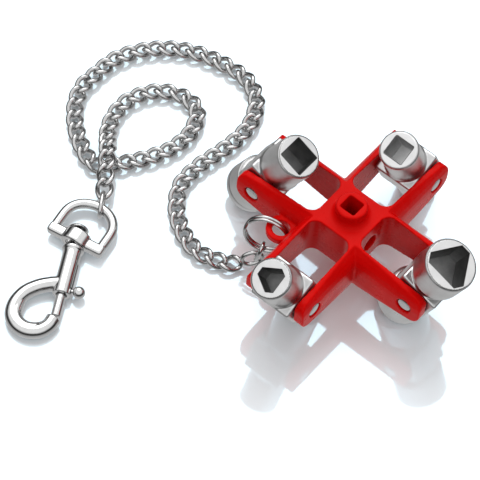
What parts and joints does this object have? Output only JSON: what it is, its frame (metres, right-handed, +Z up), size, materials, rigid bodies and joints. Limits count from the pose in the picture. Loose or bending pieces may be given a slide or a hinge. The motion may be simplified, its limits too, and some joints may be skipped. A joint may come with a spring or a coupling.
{
  "type": "radiator bleed key",
  "caption": "Cross-shaped key with pivoting double-ended socket heads on forked arms, a square socket in its hub, and a chain with a swivel snap hook.",
  "frame": {"origin": "on the hub's axis, at the surface that the key stands on", "axes": "+Z up along the hub's square socket; the four arms run along +X, +Y, -X and -Y; the chain's lug is between -X and -Y"},
  "size_m": [0.1422, 0.1229, 0.0389],
  "materials": {
    "red_enamel": "gloss red powder coat on cast zinc",
    "cast_zinc": "satin die cast, ground end faces",
    "bright_nickel": "bright nickel plate",
    "plated_steel": "bright zinc plate"
  },
  "bodies": {
    "key": {"key_body": "red_enamel", "rivet_nw": "plated_steel", "rivet_ne": "plated_steel", "rivet_sw": "plated_steel", "rivet_se": "plated_steel", "chain": "plated_steel", "chain_link_first": "plated_steel", "chain_link_second": "plated_steel", "chain_link_last": "plated_steel", "chain_link_eye": "plated_steel", "snap_eye": "bright_nickel"},
    "head_nw": {"head_nw": "cast_zinc"},
    "head_ne": {"head_ne": "cast_zinc"},
    "head_sw": {"head_sw": "cast_zinc"},
    "head_se": {"head_se": "cast_zinc"},
    "ring": {"split_ring": "plated_steel"},
    "snap": {"snap_body": "bright_nickel", "bolt_spring": "plated_steel"},
    "bolt": {"snap_bolt": "bright_nickel", "bolt_knob": "bright_nickel"}
  },
  "joints": [
    {"name": "head_nw_pivot", "type": "hinge", "parent": "key", "child": "head_nw", "pos_m": [-0.0279, 0, 0.0193], "axis": [0, -1, 0], "range_deg": [-183, 54]},
    {"name": "head_ne_pivot", "type": "hinge", "parent": "key", "child": "head_ne", "pos_m": [0, 0.0279, 0.0193], "axis": [-1, 0, 0], "continuous": true},
    {"name": "head_sw_pivot", "type": "hinge", "parent": "key", "child": "head_sw", "pos_m": [0, -0.0279, 0.0193], "axis": [1, 0, 0], "continuous": true},
    {"name": "head_se_pivot", "type": "hinge", "parent": "key", "child": "head_se", "pos_m": [0.0279, 0, 0.0193], "axis": [0, 1, 0], "range_deg": [-51, 7]},
    {"name": "ring_turn", "type": "hinge", "parent": "key", "child": "ring", "pos_m": [-0.01733, -0.01575, 0.01538], "axis": [0.3761, -0.9073, 0.1881], "continuous": true},
    {"name": "snap_swivel", "type": "hinge", "parent": "key", "child": "snap", "pos_m": [-0.0619, -0.0478, 0.0034], "axis": [0.4891, -0.8715, -0.0349], "continuous": true},
    {"name": "bolt_slide", "type": "slide", "parent": "snap", "child": "bolt", "axis": [-0.4891, 0.8715, 0.0349], "range_m": [0, 0.0076], "stiffness_N_per_m": 350, "springref_m": -0.003, "deforming": ["bolt_spring"]}
  ]
}
